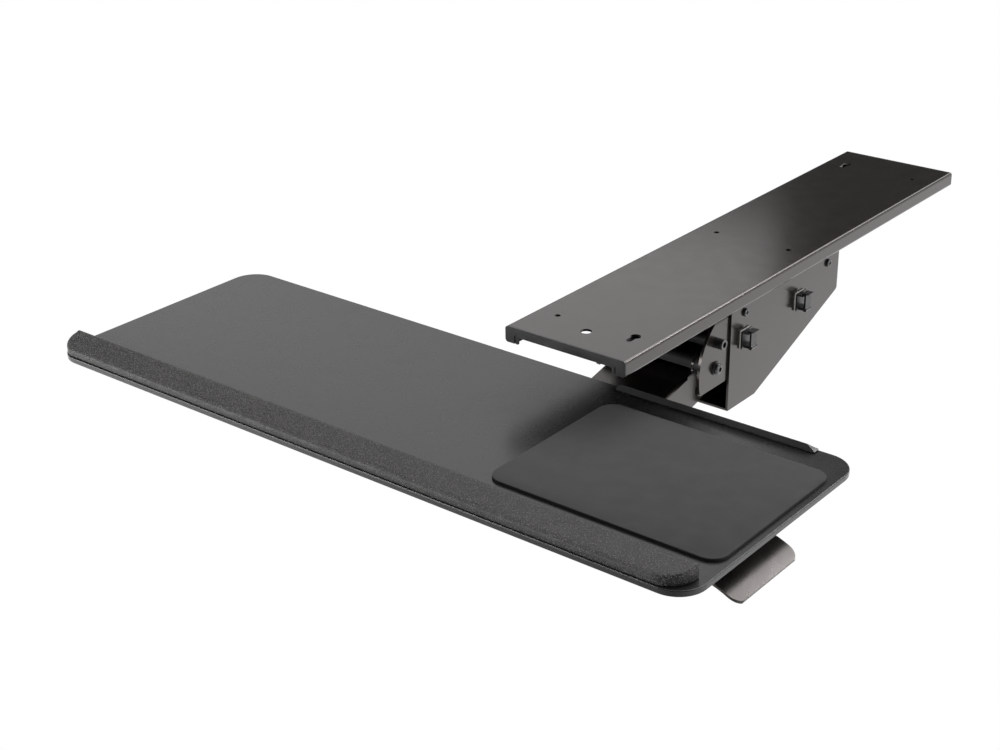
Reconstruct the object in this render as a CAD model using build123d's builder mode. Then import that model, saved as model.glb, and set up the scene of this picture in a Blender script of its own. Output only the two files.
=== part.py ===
from build123d import *
import os
from math import atan2, cos, degrees, hypot, pi, radians, sin, tan

# Keyboard tray that slides, lifts, tilts and swivels under a desk.
# The origin is the middle of the track's top face, which lies against the desk.
# X runs to the user's right, Y runs away from the user and Z runs up.

os.makedirs("parts", exist_ok=True)

# Sizes shared by many pieces
dome_share = 0.75
edge_share = 0.12
overrun = 2.0
running_clearance = 0.05
seat_clearance = 0.1
slide_clearance = 0.15

# Track
track_length = 568.0
track_width = 120.0
track_height = 14.0
track_wall = 2.0
track_lip = 10.0
track_bend = 2.6
screw_gauge = 76.0
screw_row_inset = 40.0
screw_hole = 5.0
driver_hole = 9.5
driver_hole_inset = 28.0
keyhole_head = 9.0
keyhole_slot = 5.0
keyhole_run = 9.5
keyhole_lead = 6.0

# End caps of the track
cap_thickness = 2.0
cap_band = 8.0
cap_leg = 13.0
cap_plug = 8.0
cap_slit = 1.0
cap_slit_height = 7.0
cap_slit_inset = 10.0
cap_corner = 2.0

# Carriage in the track
carriage_front = 150.0
carriage_length = 195.0
carriage_width = 104.0
carriage_plate = 3.0
glide_length = 30.0
glide_bite = 8.0
glide_chamfer = 1.0
neck_drop = 2.0
neck_diameter = 16.0
neck_gauge = 60.0
neck_inset = 32.0
neck_bolt = 8.0
neck_bolt_head = 13.0
neck_bolt_head_height = 5.0
neck_bolt_end = 1.2

# Lift frame with its two ears
frame_width = 108.0
frame_wall = 2.5
frame_rear_depth = 46.0
frame_bottom = 78.0
frame_bottom_rear = 214.0
frame_bend = 4.0
frame_corner = 2.0
ear_radius = 54.0
ear_centre_from_front = 172.0
ear_centre_drop = 62.0

# Cover around the lift frame
cover_wall = 2.0
cover_front = 163.0
cover_bottom_rear = 207.5
cover_rear_gap = 2.0
cover_bottom = 108.0
cover_rear_bottom = 53.0
cover_top = 16.0
cover_bend = 1.5
cover_screw_front = 184.7
cover_screw_rear_inset = 16.5
cover_screw_drop = 21.5
cover_screw = 4.0
cover_screw_head = 7.5
cover_screw_cross = 1.2
cover_screw_cross_width = 4.6
cover_screw_cross_depth = 1.0
cover_screw_head_height = 2.4
cover_screw_length = 8.0

# Arm pivot and tie bolt through the ears
pivot_from_front = 143.5
pivot_drop = 60.0
pivot_shaft = 12.0
pivot_bush = 16.0
pivot_bush_flange = 20.0
pivot_bush_flange_thickness = 1.5
pivot_screw = 6.0
pivot_screw_head = 10.5
pivot_screw_head_height = 3.3
pivot_screw_socket = 4.0
pivot_screw_socket_depth = 2.0
pivot_screw_reach = 14.0
pivot_washer = 12.5
pivot_washer_thickness = 1.5
tie_drop = 36.3
tie_rod = 10.0
tie_screw_head = 9.5
tie_screw_head_height = 5.0
tie_screw_socket = 5.0
tie_screw_socket_depth = 3.0
tie_collar = 9.5
tie_collar_thickness = 3.0

# Lift arm
arm_side_room = 16.0
arm_wall = 2.0
arm_half_depth = 16.5
arm_front_from_front = 30.0
arm_front_drop = 104.0
arm_heel_from_front = 140.0
arm_heel_drop = 80.0
arm_lobe = 10.5
arm_blend = 3.5
arm_bend = 2.5
arm_web_front = 26.0
arm_web_rear_inset = 4.6
crank_length = 26.0
crank_lobe = 9.0
crank_pin = 8.0
crank_pin_head = 12.0
crank_pin_head_height = 1.5

# Gas spring between the crank and the rear of the lift frame
anchor_inset = 15.0
anchor_drop = 40.0
anchor_pin = 8.0
anchor_clip = 11.0
anchor_clip_thickness = 1.0
spring_tube = 18.0
spring_bore = 14.0
spring_tube_length = 108.0
spring_tube_wall = 4.0
spring_guide = 10.0
spring_eye = 18.0
spring_eye_width = 10.0
spring_rod = 8.0
spring_piston_length = 8.0
spring_piston_depth = 60.0
rod_eye = 20.0
rod_eye_play = 1.9
strut_sleeve = 12.0

# Angles, in degrees: the lift arm's travel, the wrist rest's fall and the ends of the paddle's spring
rest_fall = 33.0
lift_down = 30.0
lift_up = 10.0
paddle_spring_lead = 55.0
paddle_spring_fall = 6.0

# Tilt bracket and its bolt
bracket_wall = 2.5
bracket_plate = 3.0
bracket_front = -80.0
bracket_rear = 45.0
bracket_ear = 14.0
bracket_ear_front = -34.0
bracket_corner = 8.0
friction_washer = 24.0
friction_washer_thickness = 1.5
tilt_bolt = 10.0
tilt_bolt_head = 16.0
tilt_bolt_head_height = 6.0
tilt_bolt_spare = 2.0
tilt_washer = 20.0
tilt_washer_thickness = 2.0
tilt_nut = 16.0
tilt_nut_height = 8.0

# Swivel under the tray
swivel_from_front = -35.0
swivel_plate_width = 164.0
swivel_plate_depth = 104.0
swivel_plate_thickness = 3.0
swivel_plate_corner = 10.0
swivel_disc = 70.0
swivel_disc_thickness = 1.5
swivel_stud = 12.0
swivel_stud_spare = 3.0
swivel_washer = 28.0
swivel_washer_thickness = 2.0
swivel_nut = 19.0
swivel_nut_height = 7.0
plate_screw = 4.0
plate_screw_head = 8.0
plate_screw_head_height = 2.4
plate_screw_depth = 4.0
plate_screw_gauge_x = 146.0
plate_screw_gauge_y = 84.0

# Tray
tray_width = 660.0
tray_depth = 240.0
tray_thickness = 5.0
tray_corner = 24.0
tray_edge = 0.8
tray_offset = -93.5
tray_front = -179.0
tray_drop = 58.0

# Wrist rest
rest_depth = 38.5
rest_height = 18.5
rest_rear_height = 1.5
rest_front_inset = 0.8
rest_side_inset = 0.5
rest_right_gap = 8.0

# Mouse pad and mouse stop
pad_width = 206.0
pad_depth = 161.0
pad_thickness = 2.5
pad_corner = 14.0
pad_right_gap = 6.5
pad_from_front = 47.5
pad_edge = 0.6
stop_length = 188.0
stop_height = 6.6
stop_depth = 7.0
stop_mitre = 7.0
stop_foot = 1.2
stop_foot_inset = 0.8
stop_right_gap = 36.0
stop_rear_gap = 0.5
stop_screw = 2.5
stop_screw_head = 5.0
stop_screw_head_height = 1.8
stop_screw_depth = 7.4
stop_screw_pitch = 80.0
stop_screw_share = 0.4

# Release paddle under the tray's right edge
paddle_width = 84.0
paddle_from_front = 57.0
paddle_thickness = 2.0
paddle_drop = 13.0
paddle_flat = 39.0
paddle_curve_run = 47.0
paddle_curve_drop = 13.5
paddle_corner = 9.0
paddle_reach = 6.0
paddle_knuckle = 9.0
paddle_pin = 5.0
paddle_knuckle_width = 30.0
paddle_neck = 9.0
paddle_slot = 9.0
paddle_slot_length = 12.0
paddle_bracket_wall = 2.0
paddle_bracket_ear = 12.0
paddle_bracket_flange = 14.0
paddle_screw = 4.0
paddle_screw_head = 8.0
paddle_screw_head_height = 2.4
paddle_screw_depth = 4.0
paddle_spring_wire = 1.2
paddle_spring_turns = 4
paddle_spring_sides = 8
paddle_spring_play = 0.4
paddle_spring_upper_leg = 11.2
paddle_spring_lower_leg = 17.5

# Cable clips on the cover's right side
clip_size = 17.0
clip_foot = 1.5
clip_pad = 1.0
clip_width = 9.0
clip_arm = 3.4
clip_arm_wall = 1.6
clip_half_gap = 5.2
clip_bar = 1.8
clip_bar_reach = 4.9
clip_pin = 2.0
clip_pin_drop = 6.6
clip_knuckle = 3.8
clip_lug = 1.6
clip_tab = 2.4
clip_gap = 0.3
clip_bend = 3.4
clip_front_from_front = 186.5
clip_front_drop = 45.8
clip_rear_from_front = 279.0
clip_rear_drop = 41.5

# Places worked out from the sizes
sheet_front = -track_length / 2
front = sheet_front - cap_thickness
cavity_top = -track_wall
cavity_bottom = -(track_height - track_wall)
cavity_middle = (cavity_top + cavity_bottom) / 2
cavity_width = track_width - 2 * track_wall
cavity_height = cavity_top - cavity_bottom
mouth_width = track_width - 2 * track_lip
plate_top = cavity_middle + carriage_plate / 2
plate_bottom = cavity_middle - carriage_plate / 2
frame_top = -(track_height + neck_drop)
carriage_middle = front + carriage_front + carriage_length / 2
frame_rear = carriage_front + carriage_length
cover_rear = frame_rear + cover_rear_gap + cover_wall
cover_screw_rear = frame_rear - cover_screw_rear_inset
arm_width = frame_width - 2 * arm_side_room
row_front = sheet_front + screw_row_inset
pivot_y = front + pivot_from_front
pivot_z = -pivot_drop
arm_front_y = front + arm_front_from_front
arm_front_z = -arm_front_drop
arm_heel_y = front + arm_heel_from_front
arm_heel_z = -arm_heel_drop
arm_run = hypot(arm_heel_y - arm_front_y, arm_heel_z - arm_front_z)
arm_slope = degrees(atan2(arm_heel_z - arm_front_z, arm_heel_y - arm_front_y))
arm_web_rear = arm_run - arm_web_rear_inset
anchor_y = front + frame_rear - anchor_inset
anchor_z = -anchor_drop
swivel_y = front + swivel_from_front
tray_top = -tray_drop
tray_bottom = tray_top - tray_thickness
swivel_plate_bottom = tray_bottom - swivel_plate_thickness
disc_bottom = swivel_plate_bottom - swivel_disc_thickness
bracket_bottom = disc_bottom - bracket_plate
bracket_half = arm_width / 2 + friction_washer_thickness + bracket_wall
tray_front_y = front + tray_front
tray_rear_y = tray_front_y + tray_depth
tray_middle_y = tray_front_y + tray_depth / 2
tray_right = tray_offset + tray_width / 2
tray_left = tray_offset - tray_width / 2

# The crank hangs from the arm's pivot, square to the gas spring when the arm is halfway
lift_middle = (lift_down - lift_up) / 2
strut_slope = degrees(atan2(anchor_z - (pivot_z - crank_length), anchor_y - pivot_y))
crank_angle = strut_slope - lift_middle
crank_y = pivot_y + crank_length * sin(radians(crank_angle))
crank_z = pivot_z - crank_length * cos(radians(crank_angle))
strut_run = hypot(anchor_y - crank_y, anchor_z - crank_z)
strut_angle = degrees(atan2(anchor_z - crank_z, anchor_y - crank_y))


def side_plane(x):
    """Vertical plane across X, drawn with Y to the right and Z up."""
    return Plane.YZ.offset(x)


def along_x(y, z, x):
    """Plane at a point, facing +X, for shafts and holes across the mechanism."""
    return Plane(origin=(x, y, z), x_dir=(0, 1, 0), z_dir=(1, 0, 0))


def hull_of(plane, discs):
    """Face round a few discs, each given as a place in the plane and a radius."""
    with BuildSketch(plane) as hull:
        with BuildLine():
            for place, radius in discs:
                CenterArc(place, radius, 0, 360)
        make_hull()
    return hull.sketch


def save(builder, label):
    """Names a finished piece and writes it."""
    builder.part.label = label
    export_step(builder.part, f"parts/{label}.step")


# Places that several pieces share
screw_places = [
    (-screw_gauge / 2, row_front),
    (screw_gauge / 2, -row_front),
    (-screw_gauge / 2, 0),
    (screw_gauge / 2, 0),
]
keyhole_places = [(screw_gauge / 2, row_front), (-screw_gauge / 2, -row_front)]
neck_reach = carriage_length / 2 - neck_inset
neck_places = [
    (side * neck_gauge / 2, carriage_middle + end * neck_reach) for side in (-1, 1) for end in (-1, 1)
]
cover_screw_places = [(front + cover_screw_front, -cover_screw_drop), (front + cover_screw_rear, -cover_screw_drop)]


# Track: a folded channel with in-turned lips, screw holes and two keyholes
with BuildPart() as track:
    with BuildSketch(Plane.XZ):
        with Locations((0, cavity_middle)):
            RectangleRounded(track_width, track_height, track_bend)
            RectangleRounded(cavity_width, cavity_height, track_bend - track_wall, mode=Mode.SUBTRACT)
        with Locations((0, -track_height)):
            Rectangle(mouth_width, 2 * track_wall + overrun, mode=Mode.SUBTRACT)
    extrude(amount=track_length / 2, both=True)
    with Locations(*screw_places):
        Hole(screw_hole / 2, depth=track_wall + overrun)
    with Locations((0, sheet_front + driver_hole_inset)):
        Hole(driver_hole / 2, depth=track_wall + overrun)
    with BuildSketch(Plane.XY):
        for x, y in keyhole_places:
            with Locations((x, y + keyhole_run - keyhole_lead)):
                Circle(keyhole_head / 2)
            with Locations((x, y + keyhole_run / 2 - keyhole_lead)):
                SlotCenterToCenter(keyhole_run, keyhole_slot, rotation=90)
    extrude(amount=-track_wall - overrun, mode=Mode.SUBTRACT)
save(track, "track")


def end_cap(label, end, inward):
    """Moulded cap on one end of the track, with a leg over each lip and a plug inside."""
    leg_middle = track_width / 2 - cap_slit_inset
    with BuildPart() as cap:
        with BuildSketch(Plane.XZ.offset(-end)):
            with Locations((0, cavity_middle)):
                RectangleRounded(track_width, track_height, track_bend)
            with Locations((0, -cap_band - track_height / 2)):
                RectangleRounded(track_width - 2 * cap_leg, track_height, cap_corner, mode=Mode.SUBTRACT)
            with Locations((-leg_middle, -track_height), (leg_middle, -track_height)):
                Rectangle(cap_slit, 2 * cap_slit_height, mode=Mode.SUBTRACT)
        extrude(amount=inward * cap_thickness)
        plug_top = cavity_top - seat_clearance
        with BuildSketch(Plane.XZ.offset(-end)):
            with Locations((0, (plug_top - cap_band) / 2)):
                RectangleRounded(cavity_width - 2 * seat_clearance, cap_band + plug_top, cap_slit)
        extrude(amount=-inward * cap_plug)
    save(cap, label)


end_cap("front_end_cap", sheet_front, 1)
end_cap("rear_end_cap", -sheet_front, -1)

# Carriage plate that runs inside the track
with BuildPart() as glide_plate:
    with BuildSketch(Plane.XY.offset(plate_bottom)):
        with Locations((0, carriage_middle)):
            RectangleRounded(carriage_width, carriage_length, cap_corner)
    extrude(amount=carriage_plate)
    with BuildSketch(Plane.XY.offset(plate_bottom)):
        with Locations(*neck_places):
            Circle(neck_bolt / 2 + seat_clearance)
    extrude(amount=carriage_plate, mode=Mode.SUBTRACT)
save(glide_plate, "carriage_plate")

# Four plastic glides that grip the plate's edges and fill the track
glide_outer = cavity_width / 2 - slide_clearance
glide_inner = carriage_width / 2 - glide_bite
with BuildPart() as track_glides:
    for start in (front + carriage_front, front + carriage_front + carriage_length - glide_length):
        with BuildSketch(Plane.XZ.offset(-start)) as glide_section:
            with Locations(((glide_outer + glide_inner) / 2, cavity_middle)):
                Rectangle(glide_outer - glide_inner, cavity_height - 2 * slide_clearance)
            chamfer(glide_section.vertices(), glide_chamfer)
            with Locations((glide_inner, cavity_middle)):
                Rectangle(2 * glide_bite, carriage_plate, mode=Mode.SUBTRACT)
        extrude(amount=-glide_length)
    mirror(about=Plane.YZ)
save(track_glides, "track_glides")

# Neck tubes that hold the lift frame below the track's lips
with BuildPart() as neck_spacers:
    with BuildSketch(Plane.XY.offset(frame_top)):
        with Locations(*neck_places):
            Circle(neck_diameter / 2)
            Circle(neck_bolt / 2 + seat_clearance, mode=Mode.SUBTRACT)
    extrude(amount=plate_bottom - frame_top)
save(neck_spacers, "neck_spacers")

# Hexagon bolts from the lift frame up through the necks into the carriage plate
bolt_seat = frame_top - frame_wall
with BuildPart() as carriage_bolts:
    with BuildSketch(Plane.XY.offset(bolt_seat)):
        with Locations(*neck_places):
            RegularPolygon(neck_bolt_head / 2, 6, major_radius=False)
    extrude(amount=-neck_bolt_head_height)
    with BuildSketch(Plane.XY.offset(bolt_seat)):
        with Locations(*neck_places):
            Circle(neck_bolt / 2)
    extrude(amount=plate_top + neck_bolt_end - bolt_seat)
save(carriage_bolts, "carriage_bolts")

# Lift frame: one folded plate, open below, whose sides reach forward as two round-nosed ears
ear_y = front + ear_centre_from_front
ear_top_y = ear_y - (ear_radius**2 - (ear_centre_drop + frame_top) ** 2) ** 0.5
ear_bottom_y = ear_y - (ear_radius**2 - (frame_bottom - ear_centre_drop) ** 2) ** 0.5
with BuildPart() as lift_frame:
    with BuildSketch(side_plane(0)) as frame_side:
        with BuildLine():
            Polyline(
                (ear_top_y, frame_top),
                (front + frame_rear, frame_top),
                (front + frame_rear, -frame_rear_depth),
                (front + frame_bottom_rear, -frame_bottom),
                (ear_bottom_y, -frame_bottom),
            )
            ThreePointArc(
                (ear_bottom_y, -frame_bottom),
                (ear_y - ear_radius, -ear_centre_drop),
                (ear_top_y, frame_top),
            )
        make_face()
        fillet(frame_side.vertices().group_by(Axis.Y)[0], frame_corner)
    extrude(amount=frame_width / 2, both=True)
    fillet(lift_frame.edges().filter_by(Axis.Y).group_by(Axis.Z)[-1], frame_bend)
    with BuildSketch(Plane.XZ.offset(-carriage_middle)):
        with Locations((0, frame_top - frame_wall - frame_bottom / 2)):
            RectangleRounded(frame_width - 2 * frame_wall, frame_bottom, frame_bend - frame_wall)
    extrude(amount=carriage_length, both=True, mode=Mode.SUBTRACT)
    with BuildSketch(Plane.XY.offset(frame_top)):
        with Locations(*neck_places):
            Circle(neck_bolt / 2 + seat_clearance)
    extrude(amount=-frame_wall, mode=Mode.SUBTRACT)
    with BuildSketch(side_plane(0)):
        with Locations((pivot_y, pivot_z), (pivot_y, -tie_drop)):
            Circle(pivot_screw / 2 + seat_clearance)
        with Locations((anchor_y, anchor_z)):
            Circle(anchor_pin / 2 + seat_clearance)
        with Locations(*cover_screw_places):
            Circle(cover_screw / 2 + seat_clearance)
    extrude(amount=frame_width, both=True, mode=Mode.SUBTRACT)
save(lift_frame, "lift_frame")

# Cover: a shell over the gas spring, open in front for the arm and above for the frame
cover_half = frame_width / 2 + cover_wall
cover_slope = atan2(cover_bottom - cover_rear_bottom, cover_rear - cover_bottom_rear)
inner_knee_y = front + cover_bottom_rear - cover_wall * tan(cover_slope / 2)
inner_rear_y = front + cover_rear - cover_wall
inner_bottom = cover_wall - cover_bottom
inner_rear_z = inner_bottom + (inner_rear_y - inner_knee_y) * tan(cover_slope)
with BuildPart() as cover:
    with BuildSketch(side_plane(0)) as cover_side:
        with BuildLine():
            Polyline(
                (front + cover_front, -cover_top),
                (front + cover_rear, -cover_top),
                (front + cover_rear, -cover_rear_bottom),
                (front + cover_bottom_rear, -cover_bottom),
                (front + cover_front, -cover_bottom),
                close=True,
            )
        make_face()
    extrude(amount=cover_half, both=True)
    fillet(cover.edges().filter_by(Axis.X).sort_by(Axis.Y)[-3:-1], cover_wall + cover_bend)
    with BuildSketch(side_plane(0)):
        with BuildLine():
            Polyline(
                (front + cover_front - overrun, inner_bottom),
                (inner_knee_y, inner_bottom),
                (inner_rear_y, inner_rear_z),
                (inner_rear_y, overrun - cover_top),
                (front + cover_front - overrun, overrun - cover_top),
                close=True,
            )
        make_face()
    extrude(amount=frame_width / 2, both=True, mode=Mode.SUBTRACT)
    with BuildSketch(side_plane(0)):
        with Locations(*cover_screw_places):
            Circle(cover_screw / 2 + seat_clearance)
    extrude(amount=frame_width, both=True, mode=Mode.SUBTRACT)
save(cover, "spring_cover")

# Pan-head screws with cross recesses that hold the cover to the lift frame
with BuildPart() as cover_screws:
    with BuildSketch(side_plane(cover_half)):
        with Locations(*cover_screw_places):
            Circle(cover_screw_head / 2)
    extrude(amount=cover_screw_head_height)
    fillet(cover_screws.faces().filter_by(Axis.X).group_by(Axis.X)[-1].edges(), cover_screw_head_height / 2)
    with BuildSketch(side_plane(cover_half)):
        with Locations(*cover_screw_places):
            Circle(cover_screw / 2)
    extrude(amount=-cover_screw_length)
    with BuildSketch(side_plane(cover_half + cover_screw_head_height)):
        with Locations(*cover_screw_places):
            Rectangle(cover_screw_cross_width, cover_screw_cross)
            Rectangle(cover_screw_cross, cover_screw_cross_width)
    extrude(amount=-cover_screw_cross_depth, mode=Mode.SUBTRACT)
    mirror(about=Plane.YZ)
save(cover_screws, "cover_screws")


def shaft_across(label, y, z, diameter):
    """Round bar between the ears, tapped at both ends."""
    half = frame_width / 2 - frame_wall
    with BuildPart() as shaft:
        with BuildSketch(along_x(y, z, 0)):
            Circle(diameter / 2)
        extrude(amount=half, both=True)
        with BuildSketch(along_x(y, z, half)):
            Circle(pivot_screw / 2 + seat_clearance)
        extrude(amount=-pivot_screw_reach, mode=Mode.SUBTRACT)
        with BuildSketch(along_x(y, z, -half)):
            Circle(pivot_screw / 2 + seat_clearance)
        extrude(amount=pivot_screw_reach, mode=Mode.SUBTRACT)
    save(shaft, label)


def socket_screws(label, y, z, seat, head, head_height, dome, socket, socket_depth):
    """A pair of socket screws, one into each end of a shaft, heads outwards."""
    with BuildPart() as screws:
        with BuildSketch(along_x(y, z, seat)):
            Circle(head / 2)
        extrude(amount=head_height)
        fillet(screws.faces().sort_by(Axis.X)[-1].edges(), dome)
        with BuildSketch(along_x(y, z, seat + head_height)):
            RegularPolygon(socket / 2, 6, major_radius=False)
        extrude(amount=-socket_depth, mode=Mode.SUBTRACT)
        with BuildSketch(along_x(y, z, seat)):
            Circle(pivot_screw / 2)
        extrude(amount=-(seat - frame_width / 2 + pivot_screw_reach))
        mirror(about=Plane.YZ)
    save(screws, label)


def pair_of_rings(label, y, z, start, end, outer, inner):
    """Two like rings, one on each side of the middle."""
    with BuildPart() as rings:
        with BuildSketch(along_x(y, z, start)):
            Circle(outer / 2)
            Circle(inner / 2, mode=Mode.SUBTRACT)
        extrude(amount=end - start)
        mirror(about=Plane.YZ)
    save(rings, label)


# Arm pivot: shaft, washers and button-head screws
ear_outer = frame_width / 2
ear_inner = ear_outer - frame_wall
screw_bore = pivot_screw + 2 * seat_clearance
shaft_across("pivot_shaft", pivot_y, pivot_z, pivot_shaft)
pair_of_rings("pivot_washers", pivot_y, pivot_z, ear_outer, ear_outer + pivot_washer_thickness,
              pivot_washer, screw_bore)
socket_screws("pivot_screws", pivot_y, pivot_z, ear_outer + pivot_washer_thickness, pivot_screw_head,
              pivot_screw_head_height, pivot_screw_head_height * dome_share, pivot_screw_socket,
              pivot_screw_socket_depth)

# Tie rod between the ears, with collars and long socket heads
shaft_across("tie_rod", pivot_y, -tie_drop, tie_rod)
pair_of_rings("tie_collars", pivot_y, -tie_drop, ear_outer, ear_outer + tie_collar_thickness,
              tie_collar, screw_bore)
socket_screws("tie_screws", pivot_y, -tie_drop, ear_outer + tie_collar_thickness, tie_screw_head,
              tie_screw_head_height, tie_screw_head_height * edge_share, tie_screw_socket,
              tie_screw_socket_depth)

# Flanged bushes in the arm and the sleeves that centre it between the ears
arm_half = arm_width / 2
flange_end = arm_half + pivot_bush_flange_thickness
shaft_bore = pivot_shaft + 2 * running_clearance
with BuildPart() as arm_bushes:
    with BuildSketch(along_x(pivot_y, pivot_z, arm_half - arm_wall)):
        Circle(pivot_bush / 2)
    extrude(amount=arm_wall)
    with BuildSketch(along_x(pivot_y, pivot_z, arm_half)):
        Circle(pivot_bush_flange / 2)
    extrude(amount=pivot_bush_flange_thickness)
    with BuildSketch(along_x(pivot_y, pivot_z, 0)):
        Circle(shaft_bore / 2)
    extrude(amount=arm_width, mode=Mode.SUBTRACT)
    mirror(about=Plane.YZ)
save(arm_bushes, "arm_bushes")
pair_of_rings("pivot_sleeves", pivot_y, pivot_z, flange_end + slide_clearance, ear_inner,
              pivot_bush_flange, shaft_bore)

# Lift arm: a folded channel, open below, with a deep heel that carries the crank pin
beam_direction = Vector(0, cos(radians(arm_slope)), sin(radians(arm_slope)))
beam_plane = Plane(origin=(0, arm_front_y, arm_front_z), x_dir=beam_direction, z_dir=(1, 0, 0))
beam_up = Axis(beam_plane.origin, beam_plane.y_dir)
beam = hull_of(beam_plane, [((0, 0), arm_half_depth), ((arm_run, 0), arm_half_depth)])
heel = hull_of(
    side_plane(0),
    [
        ((pivot_y, pivot_z), arm_lobe),
        ((crank_y, crank_z), crank_lobe),
    ],
)
web_top = arm_half_depth + arm_lobe
bend_run = arm_web_rear - arm_web_front - 2 * arm_blend
bend_plane = Plane(
    origin=beam_plane.origin + beam_direction * arm_web_front, x_dir=(-1, 0, 0), z_dir=beam_direction
)
with BuildPart() as lift_arm:
    extrude(beam, amount=arm_half, both=True)
    extrude(heel, amount=arm_half, both=True)
    notch_y = pivot_y - arm_lobe
    notch_z = arm_heel_z + (notch_y - arm_heel_y) * tan(radians(arm_slope)) + arm_half_depth / cos(radians(arm_slope))
    notch_place = (0, notch_y, notch_z)
    fillet(lift_arm.edges().filter_by(Axis.X).sort_by_distance(notch_place)[0], arm_blend)
    with BuildSketch(beam_plane):
        with Locations((arm_run / 2, arm_half_depth - arm_wall - web_top)):
            Rectangle(3 * arm_run, 2 * web_top)
        with Locations((arm_run / 2, arm_half_depth + web_top)):
            Rectangle(3 * arm_run, 2 * web_top)
        with Locations((arm_web_rear + arm_run, 0), (arm_web_front - arm_run, 0)):
            Rectangle(2 * arm_run, 4 * web_top)
    extrude(amount=arm_half - arm_wall, both=True, mode=Mode.SUBTRACT)
    with BuildSketch(bend_plane):
        with Locations((arm_half, arm_half_depth), (-arm_half, arm_half_depth)):
            Rectangle(2 * arm_bend, 2 * arm_bend)
        with Locations((arm_half - arm_bend, arm_half_depth - arm_bend),
                       (arm_bend - arm_half, arm_half_depth - arm_bend)):
            Circle(arm_bend, mode=Mode.SUBTRACT)
            Rectangle(2 * arm_bend, 2 * arm_bend, align=(Align.CENTER, Align.MAX), mode=Mode.SUBTRACT)
        with Locations((arm_bend - arm_half, arm_half_depth - arm_bend)):
            Rectangle(2 * arm_bend, 2 * arm_bend, align=(Align.MIN, Align.CENTER), mode=Mode.SUBTRACT)
        with Locations((arm_half - arm_bend, arm_half_depth - arm_bend)):
            Rectangle(2 * arm_bend, 2 * arm_bend, align=(Align.MAX, Align.CENTER), mode=Mode.SUBTRACT)
    extrude(amount=bend_run, mode=Mode.SUBTRACT)
    with BuildSketch(side_plane(0)):
        with Locations((pivot_y, pivot_z)):
            Circle(pivot_bush / 2)
        with Locations((crank_y, crank_z)):
            Circle(crank_pin / 2)
        with Locations((arm_front_y, arm_front_z)):
            Circle(tilt_bolt / 2 + running_clearance)
    extrude(amount=arm_width, both=True, mode=Mode.SUBTRACT)
save(lift_arm, "lift_arm")

# Crank pin riveted across the heel, with the sleeves that centre the gas spring's eye
with BuildPart() as crank:
    with BuildSketch(along_x(crank_y, crank_z, 0)):
        Circle(crank_pin / 2)
    extrude(amount=arm_half, both=True)
    with BuildSketch(along_x(crank_y, crank_z, arm_half)):
        Circle(crank_pin_head / 2)
    extrude(amount=crank_pin_head_height)
    with BuildSketch(along_x(crank_y, crank_z, -arm_half)):
        Circle(crank_pin_head / 2)
    extrude(amount=-crank_pin_head_height)
save(crank, "crank_pin")
eye_side = spring_eye_width / 2 + slide_clearance
pair_of_rings("crank_sleeves", crank_y, crank_z, eye_side, arm_half - arm_wall,
              strut_sleeve, crank_pin + 2 * running_clearance)

# Gas spring: its tube hangs from a pin across the lift frame and points at the crank
strut_direction = Vector(0, -cos(radians(strut_angle)), -sin(radians(strut_angle)))


def along_strut(distance):
    """Plane square to the gas spring, at a distance from its rear pin."""
    origin = Vector(0, anchor_y, anchor_z) + strut_direction * distance
    return Plane(origin=origin, x_dir=(1, 0, 0), z_dir=strut_direction)


tube_start = spring_eye / 2 - overrun
tube_end = tube_start + spring_tube_length
with BuildPart() as spring_tube_piece:
    with BuildSketch(along_strut(tube_start)):
        Circle(spring_tube / 2)
    extrude(amount=spring_tube_length)
    with BuildSketch(along_x(anchor_y, anchor_z, 0)):
        Circle(spring_eye / 2)
    extrude(amount=spring_eye_width / 2, both=True)
    with BuildSketch(along_strut(tube_start + spring_tube_wall)):
        Circle(spring_bore / 2)
    extrude(amount=spring_tube_length - spring_tube_wall - spring_guide, mode=Mode.SUBTRACT)
    with BuildSketch(along_strut(tube_end)):
        Circle(spring_rod / 2 + running_clearance)
    extrude(amount=-spring_guide, mode=Mode.SUBTRACT)
    with BuildSketch(along_x(anchor_y, anchor_z, 0)):
        Circle(anchor_pin / 2 + running_clearance)
    extrude(amount=spring_eye_width, both=True, mode=Mode.SUBTRACT)
save(spring_tube_piece, "gas_spring_tube")

piston_start = tube_end - spring_piston_depth
with BuildPart() as spring_rod_piece:
    with BuildSketch(along_strut(piston_start)):
        Circle(spring_rod / 2)
    extrude(amount=strut_run - piston_start - crank_pin)
    with BuildSketch(along_strut(piston_start)):
        Circle(spring_bore / 2 - running_clearance)
    extrude(amount=spring_piston_length)
    with BuildSketch(along_x(crank_y, crank_z, 0)):
        Circle(rod_eye / 2)
    extrude(amount=spring_eye_width / 2, both=True)
    with BuildSketch(along_x(crank_y, crank_z, 0)):
        Circle(crank_pin / 2 + rod_eye_play)
    extrude(amount=spring_eye_width, both=True, mode=Mode.SUBTRACT)
save(spring_rod_piece, "gas_spring_rod")

with BuildPart() as anchor:
    with BuildSketch(along_x(anchor_y, anchor_z, 0)):
        Circle(anchor_pin / 2)
    extrude(amount=ear_outer, both=True)
save(anchor, "anchor_pin")
clip_inner = ear_inner - anchor_clip_thickness
pair_of_rings("anchor_clips", anchor_y, anchor_z, clip_inner, ear_inner, anchor_clip, anchor_pin)
pair_of_rings("anchor_sleeves", anchor_y, anchor_z, eye_side, clip_inner,
              strut_sleeve, anchor_pin + 2 * running_clearance)

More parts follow.
